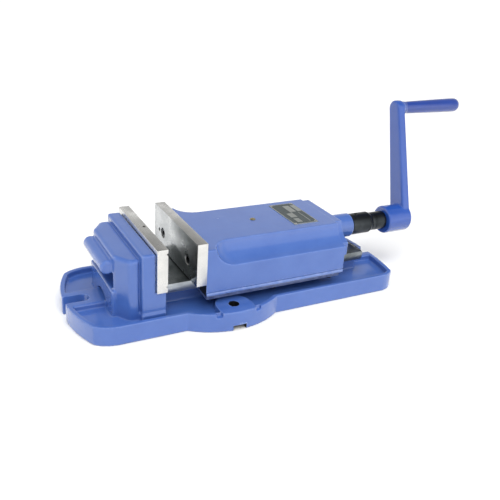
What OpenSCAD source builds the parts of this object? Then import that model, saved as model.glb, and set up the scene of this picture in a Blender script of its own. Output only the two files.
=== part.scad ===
// Machine vise, 150 mm class, with a long covered movable jaw and a crank handle.
// Frame: origin at the centre of the round mounting flange, on the base's underside.
// +X points from the jaws to the crank, +Z up. Inside the modules X is counted from the
// clamping face of the fixed jaw, and from_face() brings it into the frame. Millimetres.

/* [Jaws] */
// Width of the jaw plates
jaw_w = 150; // [130:1:160]
// Opening between the jaw plates in the drawn position
jaw_gap = 37; // [20:1:60]
// Height of the jaw plates
plate_h = 56.8; // [50:0.2:60]
// Thickness of the jaw plates
plate_t = 13.8; // [12:0.2:16]
// Height of the lower edge of the jaw plates above the underside
plate_z = 53.5; // [53:0.1:55]

/* [Base] */
// Overall length of the base
base_l = 460; // [450:1:470]
// Width of the base between its straight sides
base_w = 169; // [165:1:175]
// Height of the rim around the base
rim_h = 25; // [24:1:27]
// Thickness of the floor inside the rim
floor_h = 17; // [15:1:18]
// Width of the rim
rim_w = 6; // [5:1:9]
// Radius of the round mounting flange
flange_r = 105; // [100:1:108]
// Distance from the fixed jaw's clamping face to the flange centre
flange_x = 85; // [80:1:95]
// Distance between the two bolt holes in the flange
bolt_spacing = 168; // [164:1:172]
// Diameter of the bolt holes
bolt_d = 14; // [11:1:16]
// Width of the open slots at both ends and of the keyways
slot_w = 18; // [14:1:18]

/* [Slideway] */
// Width of the slideway
way_w = 106; // [100:1:108]
// Height of the slideway's upper face
way_z = 52; // [51:0.1:53]
// Thickness of the slideway plate
way_t = 12; // [11:0.5:13]
// Length of the slideway in front of the fixed jaw
way_l = 308; // [300:1:315]

/* [Movable jaw] */
// Length of the housing behind its jaw plate
housing_l = 205; // [200:1:210]
// Half width of the housing's flat top
top_half = 49.5; // [46:0.5:52]
// Height of the housing's flat top
top_z = 100; // [98:1:102]
// Height of the skirt's lower edge
skirt_z = 37.5; // [36:0.5:38]
// Radius of the hollow along both upper sides
cove_r = 28.5; // [27:0.5:30]

/* [Spindle and crank] */
// Height of the spindle's axis
axis_z = 71; // [70:0.5:73]
// Diameter of the spindle thread
screw_d = 24; // [20:1:26]
// Distance from the spindle's axis to the grip's axis
crank_r = 165.5; // [150:0.5:180]
// Lean of the crank from upright in the drawn position
crank_lean = 16; // [0:1:40]
// Length of the grip
grip_l = 112; // [90:1:120]
// Largest diameter of the grip
grip_d = 21; // [19:0.5:24]

/* [Hidden] */
$fn = 64;

eps = 0.01;                    // overlap that keeps unions and cuts clean
run = 0.05;                    // radial clearance of a running fit
slide_gap = 0.15;              // gap between sliding faces

base_x0 = -109;                // left end of the base
base_x1 = base_x0 + base_l;
left_corner_r = 48;
right_corner_r = 30;
left_bulge_r = 164;            // radius of the left end's slight bulge
right_bulge_r = 340;
boss_r = 24;                   // bolt boss on the flange
boss_z = rim_h + 1;

wall_x0 = -31;                 // wall behind the fixed jaw plate
wall_x1 = -plate_t;
wall_half = jaw_w / 2 - 3.5;
wall_z = 104.5;
block_x0 = -58;                // block behind that wall
block_half = 65;
block_rear_half = 44;
block_z = 97;
rear_wall_x = -61;             // outer face of the low rear wall
rear_wall_z = 52;
recess_half = 41;              // hand recess under the carrying bar
recess_floor_x = -42;
recess_z1 = 86;
bar_r = 9;                     // carrying bar
bar_x = -63;
bar_z = 81;
bar_half = 41;
arch_r = 29;                   // low clearance arch over the left slot
arch_z = 4;
arch_depth = 16;

left_slot_x = -86;             // centres of the round ends of the two open slots
right_slot_x = base_x1 - 33;
slot_boss_half = slot_w / 2 + 11;
keyway_depth = 7;
keyway_y0 = 50;
register_r = 15;               // centring bore under the flange
register_depth = 20;

web_half = 36;                 // web that carries the slideway
pocket_z = 30;                 // cored pockets in the underside, up to this height
pocket_half = 28;
pockets_x = [[-48, 40], [118, 285]];
way_corner_r = 9;
way_screws_x = [60, 110, 158, 232, 284];
way_screw_y = 27;
way_screw_r = 4;
slot_channel_half = 10.5;      // channel along the middle of the slideway
way_z0 = way_z - way_t;

plate_cb_r = 6.8;              // counterbore of the jaw plate screws
plate_cb_depth = 9;
plate_screw_r = 4;
plate_screw_y = 43;
plate_screw_z = 78;
groove_a = 3.4;                // side of the V grooves across the fixed plate
grooves_z = [plate_z + 8, plate_z + plate_h - 6.5];
stop_hole_r = 2.2;             // work stop holes in the plates
side_hole_r = 2.5;

mov_x0 = jaw_gap + plate_t;    // front face of the housing casting
mov_x1 = mov_x0 + housing_l;
mov_half = jaw_w / 2 - 1;
cavity_x0 = mov_x0 + 16;
cavity_x1 = mov_x1 - 11;
cavity_half = 27;
cavity_z1 = 93;
cove_z = top_z + 4;            // axis of the side hollows
cove_y = top_half + sqrt(cove_r * cove_r - (cove_z - top_z) * (cove_z - top_z));
cove_x = mov_x0 + 40;
lip_t = 1.8;                   // lip along the skirt's lower edge
lip_h = 4;
skirt_in = way_w / 2 + slide_gap;

cover_t = 11;
cover_x1 = mov_x1 + cover_t;
cover_z0 = 57;
neck_r = 17.5;
neck_x1 = cover_x1 + 45;
cover_screws_yz = [[-50, 66], [50, 66], [-34, 90], [34, 90]];
cover_screw_r = 3;
cover_sink = 5;                // depth of the cover screws' counterbores
journal_r = 12.5;

strip_z1 = skirt_z;
strip_t = 7;
strip_y0 = 41;
strip_y1 = 71;
strip_screws_x = [mov_x0 + 12, mov_x0 + 102, mov_x0 + 190];
strip_screw_y = 62;
strip_screw_r = 3;

oil_x = mov_x0 + 99;
oil_r = 4;
tag_x = [mov_x0 + 144.5, mov_x0 + 182];    // nameplate
tag_y = [-36.5, 37];
tag_t = 0.9;
rivets_x = [tag_x[0] + 3.2, tag_x[1] - 3.2];
rivets_y = [tag_y[0] + 3.2, tag_y[1] - 3.2];
rivet_r = 1;

nut_x0 = mov_x0 + 106.2;       // nut block, fixed to the bed
nut_l = 32;
nut_half = 22;
nut_top = axis_z + 20;
nut_screws_x = [nut_x0 + 9, nut_x0 + nut_l - 9];

inner_collar_l = 14;
inner_collar_r = 18;
washer_t = 3;
inner_collar_x = cavity_x1 - washer_t - inner_collar_l - 0.2;
cross_pin_r = 2.5;
outer_collar_r = 15.8;
outer_collar_l = 33;
sleeve_r = 13.6;
hub_x0 = neck_x1 + 62;
hub_l = 43;
hub_r = 21;
arm_t = 13.5;
arm_x0 = hub_x0 + hub_l - arm_t;
arm_tip_r = 11.5;
arm_root_half = 17;
square_a = 17;                 // square drive end of the spindle
grip_x0 = arm_x0 + arm_t + 2;
pin_r = 5;
pin_x = 3;                     // wall of the arm left in front of the pin

// ---- shared shapes -------------------------------------------------------------

module from_face() translate([-flange_x, 0, 0]) children();

// Cylinder along +X from x0 to x1
module rod(x0, x1, r) translate([x0, 0, 0]) rotate([0, 90, 0]) cylinder(r = r, h = x1 - x0);

module box(x0, x1, y0, y1, z0, z1) translate([x0, y0, z0]) cube([x1 - x0, y1 - y0, z1 - z0]);

module both_sides() { children(); mirror([0, 1, 0]) children(); }

module on_axis() translate([0, 0, axis_z]) children();

// Socket head cap screw: head from z = 0 up, shank down
module cap_screw(shank_r, shank_l) {
    head_r = shank_r * 1.625;
    head_h = shank_r * 2;
    difference() {
        union() {
            cylinder(r = head_r, h = head_h);
            translate([0, 0, -shank_l]) cylinder(r = shank_r, h = shank_l + eps);
        }
        translate([0, 0, head_h - shank_r]) cylinder(r = shank_r * 0.95, h = shank_r + eps, $fn = 6);
    }
}

// ---- base ----------------------------------------------------------------------

module rounded_end(x_end, x_in, half, r) {
    step = x_end < x_in ? 1 : -1;
    for (s = [-1, 1]) translate([x_end + step * r, s * (half - r)]) circle(r = r);
    translate([min(x_end, x_in), r - half]) square([abs(x_in - x_end), 2 * (half - r)]);
    translate([min(x_end + step * r, x_in), -half]) square([abs(x_in - x_end) - r, 2 * half]);
}

module base_outline(inset) {
    half = base_w / 2 - inset;
    intersection() {
        union() {
            rounded_end(base_x0 + inset, flange_x, half, left_corner_r - inset);
            rounded_end(base_x1 - inset, flange_x, half, right_corner_r - inset);
        }
        translate([base_x0 + left_bulge_r, 0]) union() {
            circle(r = left_bulge_r - inset, $fn = 128);
            translate([0, -base_w]) square([base_l, 2 * base_w]);
        }
        translate([base_x1 - right_bulge_r, 0]) union() {
            circle(r = right_bulge_r - inset, $fn = 128);
            translate([-base_l, -base_w]) square([base_l, 2 * base_w]);
        }
    }
    translate([flange_x, 0]) circle(r = flange_r - inset, $fn = 128);
}

module base_tray() {
    difference() {
        linear_extrude(rim_h) base_outline(0);
        translate([0, 0, floor_h]) linear_extrude(rim_h) base_outline(rim_w);
    }
    for (s = [-1, 1]) intersection() {
        union() {
            translate([flange_x, s * bolt_spacing / 2, 0]) cylinder(r = boss_r, h = boss_z);
            box(flange_x - boss_r, flange_x + boss_r, min(s * bolt_spacing / 2, s * flange_r),
                max(s * bolt_spacing / 2, s * flange_r), 0, boss_z);
        }
        translate([flange_x, 0, 0]) cylinder(r = flange_r, h = boss_z, $fn = 128);
    }
    box(base_x0 + 2, rear_wall_x + eps, -slot_boss_half, slot_boss_half, floor_h - eps, rim_h);
    box(way_l, base_x1 - 2, -slot_boss_half, slot_boss_half, floor_h - eps, rim_h);
}

module end_slot(x_mouth, x_end) {
    r = slot_w / 2;
    translate([x_end, 0, -eps]) cylinder(r = r, h = rim_h + 1);
    box(min(x_mouth, x_end), max(x_mouth, x_end), -r, r, -eps, rim_h + 1);
}

module fixed_jaw_block() {
    box(wall_x0, wall_x1, -wall_half, wall_half, floor_h - eps, wall_z);
    box(wall_x1 - eps, -0.5, -wall_half, wall_half, floor_h - eps, plate_z - 0.3);
    translate([0, 0, floor_h - eps]) linear_extrude(block_z - floor_h) polygon([
        [wall_x0 + eps, -block_half], [wall_x0 + eps, block_half], [block_x0 + 14, block_half],
        [block_x0, block_rear_half], [block_x0, -block_rear_half], [block_x0 + 14, -block_half]]);
    box(rear_wall_x, block_x0 + eps, -block_rear_half - 4, block_rear_half + 4,
        floor_h - eps, rear_wall_z);
}

module base_casting() color("royalblue") from_face() {
    difference() {
        union() {
            base_tray();
            difference() {
                fixed_jaw_block();
                box(block_x0 - 10, recess_floor_x, -recess_half, recess_half, rear_wall_z, recess_z1);
                for (s = [-1, 1])
                    box(wall_x0 - 2.5, wall_x0, s * block_half - 2, s * block_half + 2,
                        floor_h, block_z + 1);
            }
            translate([bar_x, bar_half - bar_r, bar_z]) rotate([90, 0, 0])
                cylinder(r = bar_r, h = 2 * (bar_half - bar_r));
            for (s = [-1, 1]) translate([bar_x, s * (bar_half - bar_r), bar_z]) sphere(r = bar_r);
            box(bar_x, block_x0 + 2, -bar_half, bar_half, bar_z - 4, recess_z1);
            box(-1, way_l - 2, -web_half, web_half, floor_h - eps, way_z0);
        }
        end_slot(base_x0 - 20, left_slot_x);
        end_slot(base_x1 + 20, right_slot_x);
        intersection() {
            translate([rear_wall_x - 1, 0, arch_z]) rotate([90, 0, 90]) cylinder(r = arch_r, h = arch_depth);
            box(rear_wall_x - 2, rear_wall_x + arch_depth, -arch_r, arch_r, rim_h - eps, rim_h + arch_r);
        }
        for (s = [-1, 1]) translate([flange_x, s * bolt_spacing / 2, -eps])
            cylinder(r = bolt_d / 2, h = boss_z + 1);
        both_sides() box(flange_x - slot_w / 2, flange_x + slot_w / 2, keyway_y0, flange_r + 5,
                         -eps, keyway_depth);
        translate([flange_x, 0, -eps]) cylinder(r = register_r, h = register_depth);
        for (span = pockets_x) box(span[0], span[1], -pocket_half, pocket_half, -eps, pocket_z);
        for (s = [-1, 1]) translate([0, s * plate_screw_y, plate_screw_z])
            rod(wall_x1 - 14, wall_x1 + 1, plate_screw_r);
        for (x = way_screws_x, s = [-1, 1]) translate([x, s * way_screw_y, pocket_z - 1])
            cylinder(r = way_screw_r, h = way_z0 - pocket_z + 2);
        for (x = nut_screws_x) translate([x, 0, pocket_z - 1])
            cylinder(r = way_screw_r, h = way_z0 - pocket_z + 2);
    }
}

// ---- slideway ------------------------------------------------------------------

module slideway() color("dimgray") from_face() difference() {
    translate([0, 0, way_z0]) linear_extrude(way_t) {
        translate([-0.5, -way_w / 2]) square([way_l - way_corner_r + 0.5, way_w]);
        translate([way_l - way_corner_r - eps, way_corner_r - way_w / 2])
            square([way_corner_r + eps, way_w - 2 * way_corner_r]);
        for (s = [-1, 1]) translate([way_l - way_corner_r, s * (way_w / 2 - way_corner_r)])
            circle(r = way_corner_r);
    }
    box(mov_x0 + 16, way_l - 40, -slot_channel_half, slot_channel_half, way_z0 - 1, way_z + 1);
    for (x = way_screws_x, s = [-1, 1]) translate([x, s * way_screw_y, way_z0 - 1]) {
        cylinder(r = way_screw_r, h = way_t + 2);
        translate([0, 0, way_t - 5.5]) cylinder(r = way_screw_r * 1.75, h = 10);
    }
}

module way_screw() difference() {
    union() {
        translate([0, 0, -4.6]) cylinder(r = way_screw_r * 1.7, h = 4.4);
        translate([0, 0, -way_t - 9]) cylinder(r = way_screw_r, h = way_t + 5);
    }
    translate([0, 0, -2.8]) cylinder(r = way_screw_r * 0.75, h = 4, $fn = 6);
}

module slideway_screws() color("black") from_face()
    for (x = way_screws_x, s = [-1, 1]) translate([x, s * way_screw_y, way_z]) way_screw();

// ---- jaw plates ----------------------------------------------------------------

// Plate with its clamping face at x = 0, its body on the -x side
module jaw_plate(groove) difference() {
    box(-plate_t, 0, -jaw_w / 2, jaw_w / 2, plate_z, plate_z + plate_h);
    for (s = [-1, 1]) translate([0, s * plate_screw_y, plate_screw_z]) {
        rod(-plate_t - 1, 1, plate_screw_r + 0.3);
        rod(-plate_cb_depth, 1, plate_cb_r);
    }
    if (groove) for (z = grooves_z) translate([0, 0, z]) rotate([0, 45, 0])
        cube([groove_a, jaw_w + 2, groove_a], center = true);
}

module plate_screw() rotate([0, 90, 0]) translate([0, 0, -plate_cb_depth])
    cap_screw(plate_screw_r, 17);

module fixed_jaw_plate() color("silver") from_face() difference() {
    jaw_plate(true);
    translate([-4, 0, plate_z + plate_h - 12]) cylinder(r = stop_hole_r, h = 13);
}

module fixed_plate_screws() color("black") from_face()
    for (s = [-1, 1]) translate([0, s * plate_screw_y, plate_screw_z]) plate_screw();

module movable_jaw_plate() color("silver") from_face() translate([jaw_gap, 0, 0])
    difference() {
        mirror([1, 0, 0]) jaw_plate(false);
        translate([0, plate_screw_y + 13.5, plate_screw_z]) rod(-1, 8, side_hole_r);
    }

module movable_plate_screws() color("black") from_face() translate([jaw_gap, 0, 0])
    for (s = [-1, 1]) translate([0, s * plate_screw_y, plate_screw_z]) mirror([1, 0, 0])
        plate_screw();

// ---- nut -----------------------------------------------------------------------

module spindle_nut() color("goldenrod") from_face() difference() {
    union() {
        box(nut_x0, nut_x0 + nut_l, -nut_half, nut_half, way_z, nut_top);
        box(nut_x0 + 2, nut_x0 + nut_l - 2, 0.2 - slot_channel_half, slot_channel_half - 0.2,
            way_z0, way_z + 1);
    }
    on_axis() rod(nut_x0 - 1, nut_x0 + nut_l + 1, screw_d / 2 + run);
    for (x = nut_screws_x) translate([x, 0, way_z0 - 1]) cylinder(r = way_screw_r, h = 12);
}

module nut_screws() color("black") from_face() for (x = nut_screws_x)
    translate([x, 0, pocket_z]) mirror([0, 0, 1]) cap_screw(way_screw_r, 20);

// ---- movable jaw ---------------------------------------------------------------

module side_hollow() translate([cove_x, cove_y, cove_z]) {
    sphere(r = cove_r, $fn = 96);
    rotate([0, 90, 0]) cylinder(r = cove_r, h = 300, $fn = 96);
}

module movable_jaw() color("royalblue") from_face() difference() {
    union() {
        box(mov_x0, mov_x1, -mov_half, mov_half, skirt_z, top_z);
        box(mov_x0, mov_x1, -mov_half - lip_t, mov_half + lip_t, skirt_z, skirt_z + lip_h);
    }
    both_sides() side_hollow();
    box(mov_x0 - 1, mov_x1 + 1, -skirt_in, skirt_in, skirt_z - 1, way_z + slide_gap);
    box(cavity_x0, cavity_x1, -cavity_half, cavity_half, way_z, cavity_z1);
    on_axis() rod(cavity_x1 - 1, mov_x1 + 1, journal_r + 2);
    for (s = [-1, 1]) translate([mov_x0, s * plate_screw_y, plate_screw_z])
        rod(-1, 14, plate_screw_r);
    for (x = strip_screws_x) both_sides() translate([x, strip_screw_y, skirt_z - 1])
        cylinder(r = strip_screw_r, h = 13);
    for (p = cover_screws_yz) translate([0, p[0], p[1]])
        rod(mov_x1 - 9, mov_x1 + 1, cover_screw_r);
    translate([oil_x, 0, cavity_z1 - 1]) cylinder(r = 2, h = 20);
    translate([oil_x, 0, top_z - 5]) cylinder(r = oil_r, h = 6);
    for (x = rivets_x, y = rivets_y) translate([x, y, top_z - 4])
        cylinder(r = rivet_r, h = 5);
}

module oil_plug() color("gold") from_face() translate([oil_x, 0, top_z]) difference() {
    union() {
        translate([0, 0, -5]) cylinder(r = oil_r, h = 5.8);
        translate([0, 0, -5]) cylinder(r = oil_r - 0.8, h = 6.4);
    }
    translate([0, 0, 0.6]) sphere(r = 1.6);
}

module nameplate() color("darkslategray") from_face() difference() {
    box(tag_x[0], tag_x[1], tag_y[0], tag_y[1],
        top_z, top_z + tag_t);
    for (x = rivets_x, y = rivets_y) translate([x, y, top_z - 1])
        cylinder(r = rivet_r, h = 5);
}

module nameplate_rivets() color("silver") from_face()
    for (x = rivets_x, y = rivets_y) translate([x, y, top_z]) {
        translate([0, 0, -3.5]) cylinder(r = rivet_r, h = 3.5 + tag_t + eps);
        translate([0, 0, tag_t]) cylinder(r = rivet_r * 1.7, h = 0.7);
    }

module retaining_strip() difference() {
    union() {
        box(mov_x0 + 2, mov_x1 - 3, strip_y0, strip_y1, strip_z1 - strip_t, strip_z1);
        box(mov_x0 + 2, mov_x1 - 3, strip_y0, skirt_in - 0.5, strip_z1 - 1, way_z0 - slide_gap);
    }
    for (x = strip_screws_x) translate([x, strip_screw_y, strip_z1 - strip_t - 1])
        cylinder(r = strip_screw_r, h = strip_t + 2);
}

module back_retaining_strip() color("darkgray") from_face() retaining_strip();

module front_retaining_strip() color("darkgray") from_face() mirror([0, 1, 0]) retaining_strip();

module retaining_screws() color("black") from_face() for (x = strip_screws_x) both_sides()
    translate([x, strip_screw_y, strip_z1 - strip_t]) mirror([0, 0, 1]) difference() {
        union() {
            cylinder(r = 5, h = 4);
            translate([0, 0, -16]) cylinder(r = strip_screw_r, h = 16 + eps);
        }
        translate([0, 0, 2]) cylinder(r = 2.6, h = 3, $fn = 6);
    }

// ---- rear cover ----------------------------------------------------------------

module rear_cover() color("royalblue") from_face() difference() {
    union() {
        translate([mov_x1, 0, 0]) rotate([90, 0, 90]) linear_extrude(cover_t) difference() {
            translate([-mov_half + 9, cover_z0]) square([2 * mov_half - 18, top_z - cover_z0]);
            for (s = [-1, 1]) translate([s * (cove_y - 6), cove_z]) circle(r = cove_r, $fn = 96);
        }
        on_axis() rod(cover_x1 - eps, neck_x1, neck_r);
    }
    on_axis() rod(mov_x1 - 1, neck_x1 + 1, journal_r + run);
    on_axis() rod(neck_x1 - washer_t, neck_x1 + 1, outer_collar_r - 0.8);
    for (p = cover_screws_yz) translate([0, p[0], p[1]]) {
        rod(mov_x1 - 1, cover_x1 + 1, cover_screw_r + 0.2);
        rod(cover_x1 - cover_sink, cover_x1 + 1, cover_screw_r * 1.8);
    }
}

module cover_screws() color("black") from_face() for (p = cover_screws_yz)
    translate([cover_x1 - cover_sink, p[0], p[1]]) rotate([0, 90, 0]) cap_screw(cover_screw_r, 14);

// ---- spindle -------------------------------------------------------------------

module spindle() color("gray") from_face() on_axis() {
    difference() {
        union() {
            rod(cavity_x0 + 1.5, inner_collar_x - 1, screw_d / 2);
            rod(inner_collar_x - 1 - eps, hub_x0 - 8, journal_r);
        }
        translate([inner_collar_x + inner_collar_l / 2, 0, -25]) cylinder(r = cross_pin_r, h = 50);
    }
    rod(hub_x0 - 8 - eps, hub_x0 + eps, square_a * 0.62);
    translate([hub_x0, 0, 0]) rotate([-crank_lean, 0, 0]) difference() {
        box(0, hub_l - 8, -square_a / 2, square_a / 2, -square_a / 2, square_a / 2);
        rod(hub_l - 30, hub_l, 3);
    }
}

module ring(x0, x1, r_out, r_in) on_axis() difference() {
    rod(x0, x1, r_out);
    rod(x0 - 1, x1 + 1, r_in);
}

module inner_thrust_washer() color("goldenrod") from_face()
    ring(cavity_x1 - washer_t, cavity_x1, inner_collar_r, journal_r + run);

module inner_collar() color("gray") from_face() difference() {
    ring(inner_collar_x, inner_collar_x + inner_collar_l, inner_collar_r, journal_r);
    translate([inner_collar_x + inner_collar_l / 2, 0, axis_z - 25])
        cylinder(r = cross_pin_r, h = 50);
}

module inner_collar_pin() color("dimgray") from_face()
    translate([inner_collar_x + inner_collar_l / 2, 0, axis_z - inner_collar_r + 0.5])
        cylinder(r = cross_pin_r, h = 2 * inner_collar_r - 1);

module outer_thrust_washer() color("goldenrod") from_face()
    ring(neck_x1 - washer_t, neck_x1, outer_collar_r - 1, journal_r + run);

module outer_collar() color("black") from_face() difference() {
    on_axis() difference() {
        union() {
            rod(neck_x1 + 0.2, neck_x1 + outer_collar_l, outer_collar_r);
            translate([neck_x1 + outer_collar_l - eps, 0, 0]) rotate([0, 90, 0])
                cylinder(r1 = outer_collar_r, r2 = sleeve_r, h = 4);
        }
        rod(neck_x1, neck_x1 + outer_collar_l + 5, journal_r);
    }
    translate([neck_x1 + 12, 0, axis_z]) cylinder(r = 3, h = 20);
}

module outer_collar_screw() color("dimgray") from_face() difference() {
    translate([neck_x1 + 12, 0, axis_z + journal_r]) cylinder(r = 3, h = 2.6);
    translate([neck_x1 + 12, 0, axis_z + journal_r + 1.2]) cylinder(r = 1.6, h = 3, $fn = 6);
}

module spindle_sleeve() color("black") from_face()
    ring(neck_x1 + outer_collar_l + 4.3, hub_x0 - 0.2, sleeve_r, journal_r);

// ---- crank ---------------------------------------------------------------------

// The crank drawn upright, x from the hub's inner face
module crank_frame() translate([hub_x0, 0, axis_z]) rotate([-crank_lean, 0, 0]) children();

module crank() color("mediumblue") from_face() crank_frame() difference() {
    union() {
        rod(0, hub_l, hub_r);
        translate([arm_x0 - hub_x0, 0, 0]) rotate([90, 0, 90]) linear_extrude(arm_t) {
            polygon([[-arm_root_half, 0], [arm_root_half, 0], [arm_tip_r, crank_r],
                     [-arm_tip_r, crank_r]]);
            translate([0, crank_r]) circle(r = arm_tip_r);
        }
        translate([arm_x0 - hub_x0 + arm_t - eps, 0, crank_r]) rod(0, 1.6, arm_tip_r - 1.5);
    }
    box(-1, hub_l - 8, -square_a / 2, square_a / 2, -square_a / 2, square_a / 2);
    rod(hub_l - 10, hub_l + 1, 3.5);
    translate([12, 0, 0]) cylinder(r = 3, h = hub_r + 1);
    translate([arm_x0 - hub_x0 + pin_x, 0, crank_r]) rod(0, arm_t + 1, pin_r);
}

module crank_lock_screw() color("dimgray") from_face() crank_frame() difference() {
    translate([12, 0, square_a / 2]) cylinder(r = 3, h = 12);
    translate([12, 0, square_a / 2 + 9]) cylinder(r = 1.6, h = 4, $fn = 6);
}

module crank_end_washer() color("gray") from_face() crank_frame() difference() {
    rod(hub_l, hub_l + 2, 10);
    rod(hub_l - 1, hub_l + 3, 3.5);
}

module crank_end_bolt() color("black") from_face() crank_frame() translate([hub_l + 2, 0, 0])
    rotate([0, 90, 0]) {
        cylinder(r = 5.5, h = 4, $fn = 6);
        translate([0, 0, -28]) cylinder(r = 3, h = 28 + eps);
    }

// ---- grip ----------------------------------------------------------------------

module grip_frame() crank_frame() translate([0, 0, crank_r]) children();

module grip_pin() color("gray") from_face() grip_frame() {
    x0 = arm_x0 - hub_x0;
    rod(x0 + pin_x, x0 + arm_t + 2 + grip_l - 12, pin_r);
    rod(x0 + arm_t + 2 + grip_l - 12 - eps, x0 + arm_t + 2 + grip_l - 8, pin_r + 1.5);
}

module grip_washer() color("silver") from_face() grip_frame() difference() {
    rod(grip_x0 - hub_x0 - 0.3, grip_x0 - hub_x0 + 1.2, 9);
    rod(grip_x0 - hub_x0 - 1, grip_x0 - hub_x0 + 2, pin_r + run);
}

module grip() color("mediumblue") from_face() grip_frame() translate([grip_x0 - hub_x0, 0, 0])
    rotate([0, 90, 0]) rotate_extrude() difference() {
        intersection() {
            union() {
                polygon([[0, 1.5], [8.8, 1.5], [9.2, 8], [grip_d / 2, grip_l - 24],
                         [grip_d / 2, grip_l - grip_d / 2], [0, grip_l - grip_d / 2]]);
                translate([0, grip_l - grip_d / 2]) circle(r = grip_d / 2);
            }
            square([grip_d, grip_l + 1]);
        }
        translate([-1, 0]) square([1 + pin_r + run, grip_l - 12.4]);
        translate([-1, grip_l - 12.4 - eps]) square([1 + pin_r + 1.5 + run, 5]);
    }

base_casting();
slideway();
slideway_screws();
fixed_jaw_plate();
fixed_plate_screws();
spindle_nut();
nut_screws();
movable_jaw();
movable_jaw_plate();
movable_plate_screws();
oil_plug();
nameplate();
nameplate_rivets();
front_retaining_strip();
back_retaining_strip();
retaining_screws();
rear_cover();
cover_screws();
inner_thrust_washer();
outer_thrust_washer();
spindle();
inner_collar();
inner_collar_pin();
outer_collar();
outer_collar_screw();
spindle_sleeve();
crank();
crank_lock_screw();
crank_end_washer();
crank_end_bolt();
grip_pin();
grip_washer();
grip();
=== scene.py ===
"""Machine vise, 150 mm class: the finished look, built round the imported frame."""

import math

import bpy
from mathutils import Matrix, Vector


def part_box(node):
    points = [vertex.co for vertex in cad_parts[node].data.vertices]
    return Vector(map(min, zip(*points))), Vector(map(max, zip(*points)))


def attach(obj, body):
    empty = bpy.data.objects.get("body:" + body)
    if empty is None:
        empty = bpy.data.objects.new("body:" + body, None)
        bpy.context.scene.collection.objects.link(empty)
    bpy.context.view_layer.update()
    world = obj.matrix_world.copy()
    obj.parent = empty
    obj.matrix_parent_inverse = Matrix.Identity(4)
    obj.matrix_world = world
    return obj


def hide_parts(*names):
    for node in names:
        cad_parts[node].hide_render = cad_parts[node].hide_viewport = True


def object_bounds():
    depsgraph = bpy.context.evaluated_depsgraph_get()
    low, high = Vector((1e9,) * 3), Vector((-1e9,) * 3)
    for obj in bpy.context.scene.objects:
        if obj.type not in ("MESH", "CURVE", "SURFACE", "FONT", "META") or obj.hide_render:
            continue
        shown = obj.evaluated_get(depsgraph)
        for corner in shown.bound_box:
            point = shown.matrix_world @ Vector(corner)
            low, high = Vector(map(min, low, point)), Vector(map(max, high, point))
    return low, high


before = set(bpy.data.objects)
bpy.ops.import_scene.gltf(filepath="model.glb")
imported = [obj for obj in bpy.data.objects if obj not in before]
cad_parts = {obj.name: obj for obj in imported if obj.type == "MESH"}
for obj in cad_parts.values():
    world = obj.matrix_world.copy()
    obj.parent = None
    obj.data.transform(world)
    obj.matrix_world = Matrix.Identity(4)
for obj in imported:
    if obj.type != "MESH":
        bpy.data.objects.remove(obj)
cad_low, cad_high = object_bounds()

# ---- Camera and studio ---------------------------------------------------------------
# A 47 mm lens stands left of the jaws, about 25 degrees above the table, and looks down
# the vise. Three soft boxes, one wide overhead light and pale walls light it evenly.

AZIMUTH, ELEVATION, ROLL = (math.radians(a) for a in (-28.84, 24.56, 3.95))
DISTANCE = 0.89968
TARGET = Vector((0.05995, -0.00746, 0.05804))

back = Vector((math.sin(AZIMUTH) * math.cos(ELEVATION),
               -math.cos(AZIMUTH) * math.cos(ELEVATION), math.sin(ELEVATION)))
level = Vector((math.cos(AZIMUTH), math.sin(AZIMUTH), 0))
upright = back.cross(level)
right = math.cos(ROLL) * level + math.sin(ROLL) * upright
upward = math.cos(ROLL) * upright - math.sin(ROLL) * level
lens = bpy.data.cameras.new("camera")
lens.lens, lens.sensor_width, lens.clip_start = 47.093, 36, 0.01
camera = bpy.data.objects.new("camera", lens)
camera.matrix_world = (Matrix.Translation(TARGET + back * DISTANCE)
                       @ Matrix((right, upward, back)).transposed().to_4x4())
bpy.context.scene.collection.objects.link(camera)
bpy.context.scene.camera = camera


def linear(hex_colour):
    """An sRGB hex colour as the linear RGBA that the shaders take."""
    shares = [int(hex_colour[i:i + 2], 16) / 255 for i in (1, 3, 5)]
    return (*[c / 12.92 if c <= 0.04045 else ((c + 0.055) / 1.055) ** 2.4 for c in shares], 1)


def soft_box(name, place, size, power):
    """A square studio light that faces the middle of the vise."""
    lamp = bpy.data.lights.new(name, "AREA")
    lamp.size, lamp.energy = size, power
    box = bpy.data.objects.new(name, lamp)
    box.location = place
    box.rotation_euler = (TARGET - Vector(place)).to_track_quat("-Z", "Y").to_euler()
    bpy.context.scene.collection.objects.link(box)


soft_box("front_box", (0.9, -1.9, 0.8), 2.2, 10)
soft_box("edge_strip", (-1.0, -1.5, 1.6), 0.35, 3)
soft_box("left_box", (-1.7, 0.9, 1.1), 0.9, 4)
# The overhead light is as broad as a ceiling hung with white cloth. It is kept out of
# reflections, so it brightens the upper faces and leaves no bright disc in the enamel.
ceiling = bpy.data.lights.new("ceiling", "SUN")
ceiling.energy, ceiling.angle = 2.6, math.radians(60)
overhead = bpy.data.objects.new("ceiling", ceiling)
overhead.rotation_euler = Vector((-0.1, -0.4, 1.0)).to_track_quat("Z", "Y").to_euler()
overhead.visible_glossy = False
bpy.context.scene.collection.objects.link(overhead)
bpy.context.scene.view_settings.view_transform = "Standard"


def node(tree, kind, inputs=None, **settings):
    """Adds a node, sets it up, and links or sets its inputs."""
    made = tree.nodes.new("ShaderNode" + kind)
    for name, value in settings.items():
        setattr(made, name, value)
    for socket, value in (inputs or {}).items():
        if isinstance(value, bpy.types.NodeSocket):
            tree.links.new(value, made.inputs[socket])
        else:
            made.inputs[socket].default_value = value
    return made


def new_finish(name):
    """A fresh material: its node tree, its shader, and the Object coordinates."""
    finish = bpy.data.materials.new(name)
    finish.use_nodes = True
    tree = finish.node_tree
    return finish, tree, tree.nodes["Principled BSDF"], node(tree, "TexCoord").outputs["Object"]


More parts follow.
